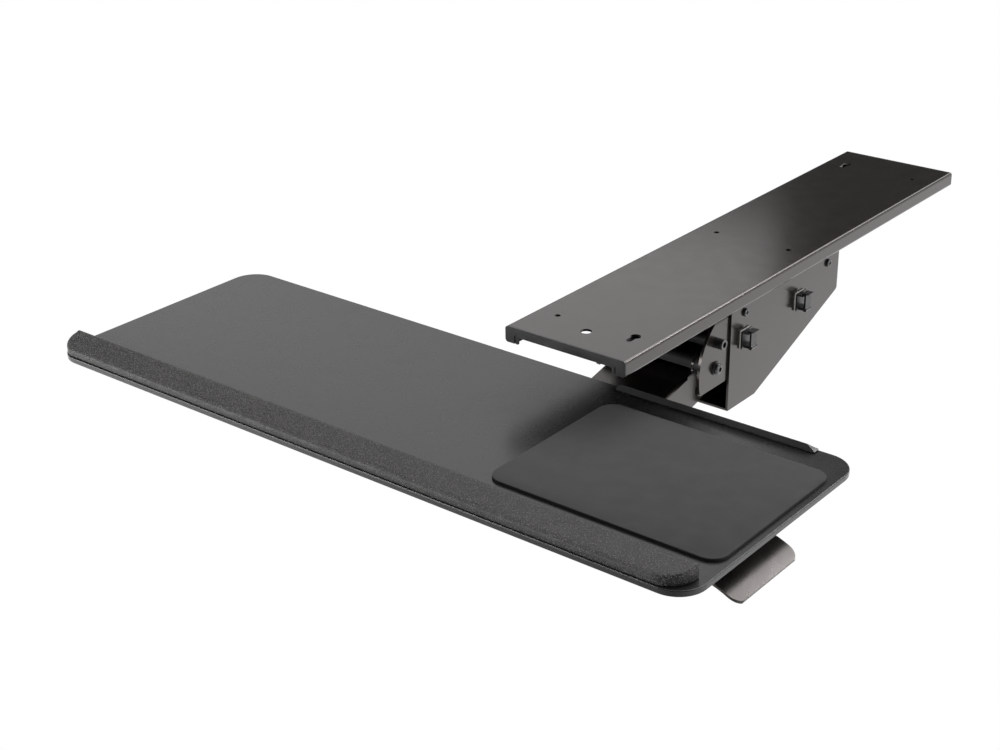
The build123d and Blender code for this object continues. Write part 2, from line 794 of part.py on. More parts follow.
# Tilt bracket: a folded plate under the tray whose ears straddle the arm's front end
bracket_inner = bracket_half - bracket_wall
bracket_front_y = front + bracket_front
bracket_rear_y = front + bracket_rear
ear_profile = hull_of(
    side_plane(0),
    [
        ((arm_front_y, arm_front_z), bracket_ear),
        ((front + bracket_ear_front, disc_bottom - bracket_corner), bracket_corner),
        ((bracket_rear_y - bracket_corner, disc_bottom - bracket_corner), bracket_corner),
    ],
)
with BuildPart() as tilt_bracket:
    extrude(ear_profile, amount=bracket_half, both=True)
    with BuildSketch(Plane.XZ.offset(-swivel_y)):
        with Locations((0, bracket_bottom + arm_front_z)):
            Rectangle(2 * bracket_inner, -2 * arm_front_z)
    extrude(amount=bracket_rear_y - bracket_front_y, both=True, mode=Mode.SUBTRACT)
    with BuildSketch(Plane.XY.offset(bracket_bottom)):
        with Locations((0, (bracket_front_y + bracket_rear_y) / 2)):
            RectangleRounded(2 * bracket_half, bracket_rear_y - bracket_front_y, bracket_corner)
    extrude(amount=bracket_plate)
    with BuildSketch(Plane.XY.offset(bracket_bottom)):
        with Locations((0, swivel_y)):
            Circle(swivel_stud / 2 + running_clearance)
    extrude(amount=bracket_plate, mode=Mode.SUBTRACT)
    with BuildSketch(along_x(arm_front_y, arm_front_z, 0)):
        Circle(tilt_bolt / 2)
    extrude(amount=bracket_half, both=True, mode=Mode.SUBTRACT)
save(tilt_bracket, "tilt_bracket")

# Tilt bolt with its washers and nut, and the friction discs between the ears and the arm
tilt_seat = bracket_half + tilt_washer_thickness
with BuildPart() as tilt_bolt_piece:
    with BuildSketch(along_x(arm_front_y, arm_front_z, tilt_seat)):
        RegularPolygon(tilt_bolt_head / 2, 6, major_radius=False)
    extrude(amount=tilt_bolt_head_height)
    with BuildSketch(along_x(arm_front_y, arm_front_z, tilt_seat)):
        Circle(tilt_bolt / 2)
    extrude(amount=-(2 * tilt_seat + tilt_nut_height + tilt_bolt_spare))
save(tilt_bolt_piece, "tilt_bolt")
with BuildPart() as tilt_nut_piece:
    with BuildSketch(along_x(arm_front_y, arm_front_z, -tilt_seat)):
        RegularPolygon(tilt_nut / 2, 6, major_radius=False)
        Circle(tilt_bolt / 2, mode=Mode.SUBTRACT)
    extrude(amount=-tilt_nut_height)
save(tilt_nut_piece, "tilt_nut")
pair_of_rings("tilt_washers", arm_front_y, arm_front_z, bracket_half, tilt_seat, tilt_washer, tilt_bolt)
pair_of_rings("friction_discs", arm_front_y, arm_front_z, arm_half + seat_clearance, bracket_inner,
              friction_washer, tilt_bolt)


def flat_ring(label, bottom, top, outer, inner):
    """Ring that lies flat on the swivel's axis."""
    with BuildPart() as ring:
        with BuildSketch(Plane.XY.offset(bottom)):
            with Locations((0, swivel_y)):
                Circle(outer / 2)
                Circle(inner / 2, mode=Mode.SUBTRACT)
        extrude(amount=top - bottom)
    save(ring, label)


# Swivel: a plate screwed under the tray, a slip disc, a stud, a washer and a nut
plate_screw_places = [
    (side * plate_screw_gauge_x / 2, swivel_y + end * plate_screw_gauge_y / 2)
    for side in (-1, 1) for end in (-1, 1)
]
with BuildPart() as swivel_plate:
    with BuildSketch(Plane.XY.offset(swivel_plate_bottom)):
        with Locations((0, swivel_y)):
            RectangleRounded(swivel_plate_width, swivel_plate_depth, swivel_plate_corner)
            Circle(swivel_stud / 2, mode=Mode.SUBTRACT)
        with Locations(*plate_screw_places):
            Circle(plate_screw / 2 + seat_clearance, mode=Mode.SUBTRACT)
    extrude(amount=swivel_plate_thickness)
save(swivel_plate, "swivel_plate")
flat_ring("slip_disc", disc_bottom, swivel_plate_bottom - seat_clearance, swivel_disc,
          swivel_stud + 2 * running_clearance)
washer_top = bracket_bottom - seat_clearance
washer_bottom = washer_top - swivel_washer_thickness
with BuildPart() as stud:
    with BuildSketch(Plane.XY.offset(tray_bottom)):
        with Locations((0, swivel_y)):
            Circle(swivel_stud / 2)
    extrude(amount=washer_bottom - swivel_nut_height - swivel_stud_spare - tray_bottom)
save(stud, "swivel_stud")
flat_ring("swivel_washer", washer_bottom, washer_top, swivel_washer, swivel_stud)
with BuildPart() as swivel_nut_piece:
    with BuildSketch(Plane.XY.offset(washer_bottom)):
        with Locations((0, swivel_y)):
            RegularPolygon(swivel_nut / 2, 6, major_radius=False)
            Circle(swivel_stud / 2, mode=Mode.SUBTRACT)
    extrude(amount=-swivel_nut_height)
save(swivel_nut_piece, "swivel_nut")


def screws_from_below(label, places, seat, head, head_height, shank, depth):
    """Cone-headed screws driven up into the tray, heads below the seat."""
    with BuildPart() as screws:
        with BuildSketch(Plane.XY.offset(seat)):
            with Locations(*places):
                Circle(head / 2)
        extrude(amount=-head_height)
        chamfer(screws.faces().filter_by(Axis.Z).group_by(Axis.Z)[0].edges(), head_height * dome_share)
        with BuildSketch(Plane.XY.offset(seat)):
            with Locations(*places):
                Circle(shank / 2)
        extrude(amount=depth)
    save(screws, label)


screws_from_below("plate_screws", plate_screw_places, swivel_plate_bottom, plate_screw_head,
                  plate_screw_head_height, plate_screw, swivel_plate_thickness + plate_screw_depth)

# Mouse stop: a wedge along the tray's rear edge on a narrower foot, mitred at both ends
stop_right = tray_right - stop_right_gap
stop_middle = stop_right - stop_length / 2
stop_front_y = tray_rear_y - stop_rear_gap - stop_depth
stop_seat = tray_top + stop_foot
stop_screw_y = stop_front_y + stop_depth * stop_screw_share
stop_screw_places = [(stop_middle + step * stop_screw_pitch, stop_screw_y) for step in (-1, 0, 1)]
with BuildPart() as mouse_stop:
    with BuildSketch(side_plane(stop_middle)):
        with BuildLine():
            Polyline(
                (stop_front_y, stop_seat),
                (stop_front_y, tray_top + stop_height),
                (stop_front_y + stop_depth, stop_seat),
                close=True,
            )
        make_face()
    extrude(amount=stop_length / 2, both=True)
    with BuildSketch(Plane.XZ.offset(-stop_front_y)):
        with BuildLine():
            Polyline(
                (stop_right - stop_length, stop_seat),
                (stop_right - stop_length + stop_mitre, tray_top + stop_height),
                (stop_right - stop_mitre, tray_top + stop_height),
                (stop_right, stop_seat),
                close=True,
            )
        make_face()
    extrude(amount=-stop_depth, mode=Mode.INTERSECT)
    with BuildSketch(Plane.XY.offset(tray_top)):
        with Locations((stop_middle, stop_front_y + stop_depth / 2)):
            Rectangle(stop_length - 2 * stop_foot_inset, stop_depth - 2 * stop_foot_inset)
    extrude(amount=stop_foot)
    with BuildSketch(Plane.XY.offset(tray_top)):
        with Locations(*stop_screw_places):
            Circle(stop_screw / 2 + seat_clearance)
    extrude(amount=stop_screw_depth - tray_thickness + seat_clearance, mode=Mode.SUBTRACT)
save(mouse_stop, "mouse_stop")
screws_from_below("stop_screws", stop_screw_places, tray_bottom, stop_screw_head,
                  stop_screw_head_height, stop_screw, stop_screw_depth)

# Release paddle: a plate that curves down past the tray's right edge, on a rolled knuckle
paddle_end_x = tray_right + paddle_reach
paddle_bend_x = paddle_end_x - paddle_curve_run
paddle_pin_x = paddle_bend_x - paddle_flat
paddle_middle_y = tray_front_y + paddle_from_front + paddle_width / 2
paddle_top = tray_bottom - paddle_drop
paddle_pin_z = paddle_top - paddle_thickness / 2
curve_angle = 2 * atan2(paddle_curve_drop, paddle_curve_run)
curve_radius = paddle_curve_run / sin(curve_angle)
knuckle_half = paddle_knuckle_width / 2
paddle_plan = [
    (paddle_pin_x, paddle_middle_y - knuckle_half),
    (paddle_pin_x + paddle_neck, paddle_middle_y - knuckle_half),
    (paddle_bend_x - paddle_corner, paddle_middle_y - paddle_width / 2),
    (paddle_end_x, paddle_middle_y - paddle_width / 2),
    (paddle_end_x, paddle_middle_y + paddle_width / 2),
    (paddle_bend_x - paddle_corner, paddle_middle_y + paddle_width / 2),
    (paddle_pin_x + paddle_neck, paddle_middle_y + knuckle_half),
    (paddle_pin_x, paddle_middle_y + knuckle_half),
]
with BuildPart() as paddle:
    with BuildSketch(Plane.XZ.offset(-paddle_middle_y)):
        with BuildLine():
            flat = Line((paddle_pin_x, paddle_pin_z), (paddle_bend_x, paddle_pin_z))
            CenterArc((paddle_bend_x, paddle_pin_z - curve_radius), curve_radius, 90, -degrees(curve_angle))
        trace(line_width=paddle_thickness)
    extrude(amount=paddle_width / 2, both=True)
    with BuildSketch(Plane.XY.offset(paddle_top + paddle_knuckle)) as paddle_outline:
        with BuildLine():
            Polyline(*paddle_plan, close=True)
        make_face()
        fillet(paddle_outline.vertices().group_by(Axis.X)[-1], paddle_corner)
    extrude(amount=-paddle_knuckle - paddle_curve_drop - paddle_knuckle, mode=Mode.INTERSECT)
    with BuildSketch(Plane.XZ.offset(-paddle_middle_y)):
        with Locations((paddle_pin_x, paddle_pin_z)):
            Circle(paddle_knuckle / 2)
    extrude(amount=knuckle_half, both=True)
    with BuildSketch(Plane.XZ.offset(-paddle_middle_y)):
        with Locations((paddle_pin_x, paddle_pin_z)):
            Circle(paddle_pin / 2 + running_clearance)
    extrude(amount=paddle_width, both=True, mode=Mode.SUBTRACT)
    with BuildSketch(Plane.XY.offset(paddle_top + paddle_knuckle)):
        with Locations((paddle_pin_x, paddle_middle_y)):
            Rectangle(2 * paddle_slot_length, paddle_slot)
    extrude(amount=-2 * paddle_knuckle, mode=Mode.SUBTRACT)
save(paddle, "release_paddle")

# Bracket that carries the paddle's pin: a plate under the tray with two ears folded down
paddle_ear = knuckle_half + slide_clearance
paddle_wing = paddle_ear + paddle_bracket_wall + paddle_bracket_flange
paddle_screw_reach = paddle_wing - paddle_bracket_flange / 2
paddle_screw_places = [(paddle_pin_x, paddle_middle_y + side * paddle_screw_reach) for side in (-1, 1)]
with BuildPart() as paddle_bracket:
    with BuildSketch(Plane.XY.offset(tray_bottom)):
        with Locations((paddle_pin_x, paddle_middle_y)):
            RectangleRounded(2 * paddle_bracket_ear, 2 * paddle_wing, paddle_bracket_wall)
    extrude(amount=-paddle_bracket_wall)
    for start in (-paddle_ear - paddle_bracket_wall, paddle_ear):
        with BuildSketch(Plane.XZ.offset(-paddle_middle_y - start)):
            with BuildLine():
                Polyline(
                    (paddle_pin_x - paddle_bracket_ear, tray_bottom),
                    (paddle_pin_x + paddle_bracket_ear, tray_bottom),
                    (paddle_pin_x + paddle_knuckle / 2, paddle_pin_z),
                    (paddle_pin_x - paddle_knuckle / 2, paddle_pin_z),
                    close=True,
                )
            make_face()
            with Locations((paddle_pin_x, paddle_pin_z)):
                Circle(paddle_knuckle / 2)
                Circle(paddle_pin / 2, mode=Mode.SUBTRACT)
        extrude(amount=-paddle_bracket_wall)
    with BuildSketch(Plane.XY.offset(tray_bottom)):
        with Locations(*paddle_screw_places):
            Circle(paddle_screw / 2 + seat_clearance)
    extrude(amount=-paddle_bracket_wall, mode=Mode.SUBTRACT)
save(paddle_bracket, "paddle_bracket")
screws_from_below("paddle_screws", paddle_screw_places, tray_bottom - paddle_bracket_wall, paddle_screw_head,
                  paddle_screw_head_height, paddle_screw, paddle_bracket_wall + paddle_screw_depth)
with BuildPart() as pin_of_paddle:
    with BuildSketch(Plane.XZ.offset(-paddle_middle_y)):
        with Locations((paddle_pin_x, paddle_pin_z)):
            Circle(paddle_pin / 2)
    extrude(amount=paddle_ear + paddle_bracket_wall, both=True)
save(pin_of_paddle, "paddle_pin")

# Torsion spring on the paddle's pin: one leg bears up on the bracket and one lies over the paddle
coil_radius = (paddle_pin + paddle_spring_wire) / 2 + paddle_spring_play
coil_pitch = paddle_spring_wire + seat_clearance
coil_length = coil_pitch * (paddle_spring_turns - (paddle_spring_lead - paddle_spring_fall) / degrees(2 * pi))
coil_start = Vector(paddle_pin_x, paddle_middle_y - coil_length / 2, paddle_pin_z)
coil = Helix(coil_pitch, coil_length, coil_radius, center=coil_start, direction=(0, 1, 0))
coil_path = coil.rotate(Axis(coil_start, (0, 1, 0)), paddle_spring_lead)
with BuildPart() as coil_spring:
    with BuildSketch(Plane(origin=coil_path @ 0, z_dir=coil_path % 0)):
        RegularPolygon(paddle_spring_wire / 2, paddle_spring_sides)
    sweep(path=coil_path)
    with BuildSketch(Plane(origin=coil_path @ 0, z_dir=coil_path % 0)):
        RegularPolygon(paddle_spring_wire / 2, paddle_spring_sides)
    extrude(amount=-paddle_spring_upper_leg)
    with BuildSketch(Plane(origin=coil_path @ 1, z_dir=coil_path % 1)):
        RegularPolygon(paddle_spring_wire / 2, paddle_spring_sides)
    extrude(amount=paddle_spring_lower_leg)
save(coil_spring, "paddle_spring")

# Tray board with its pilot holes
board_pilots = [
    (plate_screw_places, plate_screw, plate_screw_depth),
    (paddle_screw_places, paddle_screw, paddle_screw_depth),
    (stop_screw_places, stop_screw, tray_thickness),
]
with BuildPart() as tray_board:
    with BuildSketch(Plane.XY.offset(tray_bottom)):
        with Locations((tray_offset, tray_middle_y)):
            RectangleRounded(tray_width, tray_depth, tray_corner)
    extrude(amount=tray_thickness)
    fillet(tray_board.faces().filter_by(Axis.Z).edges(), tray_edge)
    for places, diameter, depth in board_pilots:
        with BuildSketch(Plane.XY.offset(tray_bottom)):
            with Locations(*places):
                Circle(diameter / 2)
        extrude(amount=depth, mode=Mode.SUBTRACT)
save(tray_board, "tray_board")

# Wrist rest: foam with an upright front, a round crest near the user and a long fall to the rear
rest_left = tray_left + rest_side_inset
rest_right = tray_right - rest_right_gap
rest_front_y = tray_front_y + rest_front_inset
rest_fall_share = tan(radians(rest_fall))
rest_apex = rest_rear_height + (rest_depth - rest_front_inset) * rest_fall_share
rest_round = (rest_apex - rest_height) / (rest_fall_share + 1 / cos(radians(rest_fall)) - 1)
with BuildPart() as wrist_rest:
    with BuildSketch(side_plane(rest_left)) as rest_side:
        with BuildLine():
            Polyline(
                (rest_front_y, tray_top),
                (rest_front_y, tray_top + rest_apex),
                (tray_front_y + rest_depth, tray_top + rest_rear_height),
                (tray_front_y + rest_depth, tray_top),
                close=True,
            )
        make_face()
        fillet(rest_side.vertices().group_by(Axis.Y)[-1], rest_round)
    extrude(amount=rest_right - rest_left)
    with BuildSketch(Plane.XY.offset(tray_top)):
        with Locations((tray_offset, tray_middle_y)):
            RectangleRounded(tray_width - 2 * rest_side_inset, tray_depth - 2 * rest_front_inset,
                             tray_corner - rest_front_inset)
    extrude(amount=rest_apex, mode=Mode.INTERSECT)
save(wrist_rest, "wrist_rest")

# Mouse pad: a thin cloth-faced sheet
pad_right = tray_right - pad_right_gap
pad_front_y = tray_front_y + pad_from_front
with BuildPart() as mouse_pad:
    with BuildSketch(Plane.XY.offset(tray_top)):
        with Locations((pad_right - pad_width / 2, pad_front_y + pad_depth / 2)):
            RectangleRounded(pad_width, pad_depth, pad_corner)
    extrude(amount=pad_thickness)
    fillet(mouse_pad.faces().sort_by(Axis.Z)[-1].edges(), pad_edge)
save(mouse_pad, "mouse_pad")

# Cable clips: a foot on a foam pad, two arms, and a latch that swings out on a pin
clip_places = [
    ("front", front + clip_front_from_front, -clip_front_drop),
    ("rear", front + clip_rear_from_front, -clip_rear_drop),
]
clip_foot_x = cover_half + clip_pad
clip_arm_x = clip_foot_x + clip_foot
clip_bar_x = clip_arm_x + clip_bar_reach
clip_hinge_x = clip_bar_x + clip_bar / 2
clip_top = clip_half_gap + clip_arm_wall + clip_gap
clip_side = clip_width / 2 - clip_lug
with BuildPart() as clip_pads:
    with BuildSketch(side_plane(cover_half)):
        with Locations(*[(y, z) for name, y, z in clip_places]):
            RectangleRounded(clip_size, clip_size, clip_foot)
    extrude(amount=clip_pad)
save(clip_pads, "clip_pads")
with BuildPart() as clip_pins:
    for name, y, z in clip_places:
        with BuildSketch(Plane.XZ.offset(-y)):
            with Locations((clip_hinge_x, z - clip_pin_drop)):
                Circle(clip_pin / 2)
        extrude(amount=clip_width / 2, both=True)
save(clip_pins, "clip_pins")
for name, y, z in clip_places:
    with BuildPart() as clip_base:
        with BuildSketch(side_plane(clip_foot_x)):
            with Locations((y, z)):
                RectangleRounded(clip_size, clip_size, clip_foot)
        extrude(amount=clip_foot)
        with BuildSketch(Plane.XZ.offset(-y)):
            with Locations((clip_arm_x, z + clip_half_gap)):
                Rectangle(clip_arm, clip_arm_wall, align=(Align.MIN, Align.MIN))
            with Locations((clip_arm_x, z - clip_half_gap)):
                Rectangle(clip_arm, clip_arm_wall, align=(Align.MIN, Align.MAX))
        extrude(amount=clip_width / 2, both=True)
        for start in (clip_side, -clip_width / 2):
            with BuildSketch(Plane.XZ.offset(-y - start)):
                with Locations((clip_arm_x, z - clip_pin_drop)):
                    Rectangle(clip_hinge_x - clip_arm_x, clip_knuckle - clip_arm_wall,
                              align=(Align.MIN, Align.CENTER))
                with Locations((clip_hinge_x, z - clip_pin_drop)):
                    Circle(clip_knuckle / 2)
                    Circle(clip_pin / 2, mode=Mode.SUBTRACT)
            extrude(amount=-clip_lug)
    save(clip_base, f"{name}_clip_base")
    with BuildPart() as latch:
        with BuildSketch(Plane.XZ.offset(-y)) as latch_side:
            with BuildLine():
                Polyline(
                    (clip_bar_x, z - clip_pin_drop + clip_knuckle / 2 + clip_gap),
                    (clip_bar_x, z + clip_top),
                    (clip_arm_x + clip_tab, z + clip_top),
                    (clip_arm_x + clip_tab, z + clip_top + clip_bar),
                    (clip_bar_x + clip_bar + clip_tab, z + clip_top + clip_bar),
                    (clip_bar_x + clip_bar + clip_tab, z + clip_top + clip_bar / 2),
                    (clip_bar_x + clip_bar, z + clip_top + clip_bar / 2),
                    (clip_bar_x + clip_bar, z - clip_pin_drop + clip_knuckle / 2 + clip_gap),
                    close=True,
                )
            make_face()
        extrude(amount=clip_width / 2, both=True)
        with BuildSketch(Plane.XZ.offset(-y)):
            with Locations((clip_hinge_x, z - clip_pin_drop)):
                Circle(clip_knuckle / 2)
                Rectangle(clip_bar, clip_knuckle, align=(Align.CENTER, Align.MIN))
                Circle(clip_pin / 2 + running_clearance, mode=Mode.SUBTRACT)
        extrude(amount=clip_side - slide_clearance, both=True)
    save(latch, f"{name}_clip_latch")
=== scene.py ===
"""Under-desk keyboard tray: finishes, soft pieces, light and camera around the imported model."""

import logging
import math
from dataclasses import dataclass
from enum import Enum
from typing import Any, Callable

import bpy
from mathutils import Matrix, Vector

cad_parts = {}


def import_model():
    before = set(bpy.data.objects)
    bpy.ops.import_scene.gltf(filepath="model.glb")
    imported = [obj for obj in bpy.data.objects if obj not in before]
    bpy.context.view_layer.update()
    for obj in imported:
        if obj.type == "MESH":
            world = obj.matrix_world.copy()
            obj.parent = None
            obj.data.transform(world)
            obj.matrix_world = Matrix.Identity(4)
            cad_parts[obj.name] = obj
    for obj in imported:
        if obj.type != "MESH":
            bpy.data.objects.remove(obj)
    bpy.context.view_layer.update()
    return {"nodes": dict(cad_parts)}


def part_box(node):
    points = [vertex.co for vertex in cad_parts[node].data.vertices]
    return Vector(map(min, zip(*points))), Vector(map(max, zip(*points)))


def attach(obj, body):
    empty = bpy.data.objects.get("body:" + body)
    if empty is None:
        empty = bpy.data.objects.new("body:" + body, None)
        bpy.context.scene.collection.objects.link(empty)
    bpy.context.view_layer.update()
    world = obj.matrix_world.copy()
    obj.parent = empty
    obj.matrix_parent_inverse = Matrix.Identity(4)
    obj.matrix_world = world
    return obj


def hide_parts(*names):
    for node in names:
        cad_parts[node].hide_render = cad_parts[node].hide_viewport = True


log = logging.getLogger("keyboard_tray")
MM = 0.001
Point = tuple[float, float, float]


def linear(code: str) -> tuple[float, float, float, float]:
    """Turns an sRGB hex value into the linear colour that Blender's sockets take.

    Args:
        code: Six hex digits after a hash.

    Returns:
        Red, green, blue and alpha.
    """
    channels = [int(code[place : place + 2], 16) / 255 for place in (1, 3, 5)]
    red, green, blue = (c / 12.92 if c <= 0.04045 else ((c + 0.055) / 1.055) ** 2.4 for c in channels)
    return red, green, blue, 1.0


def add_node(
    tree: bpy.types.NodeTree,
    kind: str,
    settings: dict[str | int, Any] | None = None,
    links: dict[str | int, bpy.types.NodeSocket] | None = None,
) -> bpy.types.Node:
    """Adds a node with its settings and links.

    Args:
        tree: The tree that takes the node.
        kind: Blender's name for the node type.
        settings: Values by socket name or number, or by the node's own property name.
        links: Output sockets of other nodes, by the name or number of the input they feed.

    Returns:
        The new node.
    """
    node = tree.nodes.new(kind)
    for key, value in (settings or {}).items():
        if isinstance(key, str) and hasattr(node, key) and key not in node.inputs:
            setattr(node, key, value)
        else:
            node.inputs[key].default_value = value
    for key, source in (links or {}).items():
        tree.links.new(source, node.inputs[key])
    return node


class Pattern(Enum):
    """How a surface was made, which settles the relief that the light finds on it."""

    POWDER = "sprayed and baked powder, with a fine orange-peel skin"
    MOULDED = "moulded against a spark-eroded tool"
    ROLLED = "rolled, turned or plated metal"
    SKINNED = "foam with a pebbled skin, moulded in one piece"
    KNITTED = "short knitted cloth bonded to rubber"


@dataclass(frozen=True)
class Finish:
    """One real finish and the numbers that give its look.

    The colour lies between colour and light, and the roughness within rough_spread of its value.
    Names that end in mm are real sizes on the surface.
    """

    name: str
    colour: str
    light: str
    roughness: float
    pattern: Pattern
    grain_mm: float
    relief_mm: float
    metallic: float = 0.0
    ior: float = 1.5
    specular: float = 0.5
    sheen: float = 0.0
    tint: str = "#ffffff"
    rough_spread: float = 0.06
    mottle_mm: float = 18.0
    mottle_range: tuple[float, float] = (0.3, 0.7)
    sheen_roughness: float = 0.5
    # Share of the lighter colour on the raised tops of foam and cloth: a painted highlight
    painted_highlight_share: float = 0.75

    def build(self) -> bpy.types.Material:
        """Makes the material: a mottled colour, a roughness that varies, and relief in real millimetres.

        Returns:
            The material, ready for a slot.
        """
        material = bpy.data.materials.new(self.name)
        material.use_nodes = True
        tree = material.node_tree
        shader = tree.nodes["Principled BSDF"]
        self.set_base(shader)
        place = add_node(tree, "ShaderNodeTexCoord").outputs["Object"]
        height = self.relief(tree, place)
        mottle = add_node(
            tree,
            "ShaderNodeTexNoise",
            {"Scale": 1 / (self.mottle_mm * MM), "Detail": 3.0, "Roughness": 0.55},
            {"Vector": place},
        ).outputs["Fac"]
        bump = add_node(
            tree,
            "ShaderNodeBump",
            {"Strength": 1.0, "Distance": self.relief_mm * MM},
            {"Height": height},
        )
        sources = {
            "Base Color": self.mixed_colour(tree, mottle, height),
            "Roughness": self.varied_roughness(tree, mottle),
            "Normal": bump.outputs["Normal"],
        }
        for name, source in sources.items():
            tree.links.new(source, shader.inputs[name])
        return material

    def set_base(self, shader: bpy.types.Node) -> None:
        """Sets what doesn't vary over the surface.

        Args:
            shader: The material's shader node.
        """
        shader.inputs["Metallic"].default_value = self.metallic
        shader.inputs["Specular IOR Level"].default_value = self.specular
        shader.inputs["Specular Tint"].default_value = linear(self.tint)
        if not self.metallic:
            shader.inputs["IOR"].default_value = self.ior
        if self.sheen:
            shader.inputs["Sheen Weight"].default_value = self.sheen
            shader.inputs["Sheen Roughness"].default_value = self.sheen_roughness

    def mixed_colour(
        self, tree: bpy.types.NodeTree, mottle: bpy.types.NodeSocket, height: bpy.types.NodeSocket
    ) -> bpy.types.NodeSocket:
        """Mixes the two colours: by height on foam and cloth, whose raised tops get the lighter colour as a
        painted highlight, else by the mottle.

        Args:
            tree: The material's tree.
            mottle: The wide, soft noise.
            height: The relief's height.

        Returns:
            The socket with the colour.
        """
        blend = mottle
        # On foam and cloth the raised tops are painted lighter: a painted highlight
        if self.pattern in (Pattern.SKINNED, Pattern.KNITTED):
            blend = add_node(
                tree, "ShaderNodeMath", {"operation": "MULTIPLY", 1: self.painted_highlight_share}, {0: height}
            ).outputs[0]
        return add_node(
            tree,
            "ShaderNodeMix",
            {"data_type": "RGBA", 6: linear(self.colour), 7: linear(self.light)},
            {0: blend},
        ).outputs[2]

    def varied_roughness(
        self, tree: bpy.types.NodeTree, mottle: bpy.types.NodeSocket
    ) -> bpy.types.NodeSocket:
        """Lets the roughness drift a little to either side with the mottle.

        Args:
            tree: The material's tree.
            mottle: The wide, soft noise.

        Returns:
            The socket with the roughness.
        """
        low, high = self.mottle_range
        return add_node(
            tree,
            "ShaderNodeMapRange",
            {
                "From Min": low,
                "From Max": high,
                "To Min": self.roughness - self.rough_spread,
                "To Max": self.roughness + self.rough_spread,
            },
            {"Value": mottle},
        ).outputs["Result"]

    def relief(self, tree: bpy.types.NodeTree, place: bpy.types.NodeSocket) -> bpy.types.NodeSocket:
        """Adds the nodes that give the surface's height.

        Args:
            tree: The material's tree.
            place: Object coordinates, in metres.

        Returns:
            The socket with the height, from about 0 to 1.
        """
        if self.pattern is Pattern.SKINNED:
            return self.pebbles(tree, place)
        detail = {Pattern.MOULDED: 4.0, Pattern.ROLLED: 1.0}.get(self.pattern, 2.0)
        return add_node(
            tree,
            "ShaderNodeTexNoise",
            {"Scale": 1 / (self.grain_mm * MM), "Detail": detail, "Roughness": 0.5},
            {"Vector": place},
        ).outputs["Fac"]

    def pebbles(
        self,
        tree: bpy.types.NodeTree,
        place: bpy.types.NodeSocket,
        finer: float = 1.6,
        slope: tuple[float, float] = (0.1, 0.75),
        contrast: tuple[float, float] = (0.22, 0.5),
    ) -> bpy.types.NodeSocket:
        """Adds the nodes of a foam's skin: round pebbles, broken up by a finer noise.

        Args:
            tree: The material's tree.
            place: Object coordinates, in metres.
            finer: How much finer the noise is than the pebbles.
            slope: How far from a pebble's middle its side starts and ends, in pebbles.
            contrast: The heights that become 0 and 1.

        Returns:
            The socket with the height, from 0 to 1.
        """
        scale = 1 / (self.grain_mm * MM)
        cells = add_node(
            tree,
            "ShaderNodeTexVoronoi",
            {"feature": "SMOOTH_F1", "Scale": scale, "Smoothness": 0.35, "Randomness": 1.0},
            {"Vector": place},
        ).outputs["Distance"]
        fuzz = add_node(
            tree,
            "ShaderNodeTexNoise",
            {"Scale": scale * finer, "Detail": 3.0, "Roughness": 0.7},
            {"Vector": place},
        ).outputs["Fac"]
        dome = add_node(
            tree,
            "ShaderNodeMapRange",
            {"From Min": slope[0], "From Max": slope[1], "To Min": 1.0, "To Max": 0.0},
            {"Value": cells},
        ).outputs["Result"]
        broken = add_node(tree, "ShaderNodeMath", {"operation": "MULTIPLY"}, {0: dome, 1: fuzz}).outputs[0]
        return add_node(
            tree,
            "ShaderNodeMapRange",
            {"From Min": contrast[0], "From Max": contrast[1]},
            {"Value": broken},
        ).outputs["Result"]


# Polyester powder coat over folded steel: near black, semi-gloss, with a fine orange peel, and a warm tint
# in its reflections that is a painted warm cast of the light
POWDER_COAT = Finish("black_powder_coat", "#191715", "#1c1a18", 0.19, Pattern.POWDER, 0.9, 0.004,
                     rough_spread=0.02, tint="#fff4f1")
# The same powder on the paddle, a little less glossy, so that its reflections blur more; the same painted
# warm cast of the light tints them
PADDLE_COAT = Finish("satin_black_paddle", "#191715", "#1c1a18", 0.28, Pattern.POWDER, 1.4, 0.003,
                     rough_spread=0.03, tint="#fff4f1")
# High-pressure laminate on the board: a fine leathery sheen that blurs reflections
LAMINATE = Finish("black_laminate", "#151515", "#191919", 0.27, Pattern.MOULDED, 0.8, 0.003,
                  specular=0.38, rough_spread=0.012)
# ABS mouldings with a spark-eroded grain
ABS_MOULDING = Finish("black_abs_moulding", "#0d0d0d", "#121212", 0.36, Pattern.MOULDED, 0.5, 0.02)
# PVC extrusion of the stop strip, smooth from its die and greyer than the mouldings
PVC_STRIP = Finish("black_pvc_extrusion", "#343434", "#3c3c3c", 0.38, Pattern.MOULDED, 0.7, 0.008)
# Black oxide on steel screws, washers, collars and pins: dark, oily, a little glossy
BLACK_OXIDE = Finish("black_oxide_steel", "#1c1c1d", "#2a2a2b", 0.32, Pattern.ROLLED, 0.6, 0.006,
                     specular=0.7)
# Bright zinc plate over turned and rolled steel
ZINC_PLATE = Finish("bright_zinc_plate", "#b4b7ba", "#c9ccce", 0.28, Pattern.ROLLED, 0.5, 0.006,
                    metallic=1.0)
# Zinc-plated rods and pins inside the frame, coloured near black and dull as painted shade for the dark
# under the track
SHADED_ZINC = Finish("zinc_painted_shade", "#0e0e0e", "#151515", 0.6, Pattern.ROLLED, 0.5, 0.006,
                    specular=0.25)
# Hard chrome on the gas spring's rod, ground and polished
HARD_CHROME = Finish("hard_chrome_rod", "#cfd1d4", "#d8dadc", 0.08, Pattern.ROLLED, 0.8, 0.001,
                     metallic=1.0, rough_spread=0.02)
# Drawn spring steel, oiled
SPRING_STEEL = Finish("oiled_spring_steel", "#77777a", "#8b8b8e", 0.3, Pattern.ROLLED, 0.3, 0.004,
                      metallic=1.0)
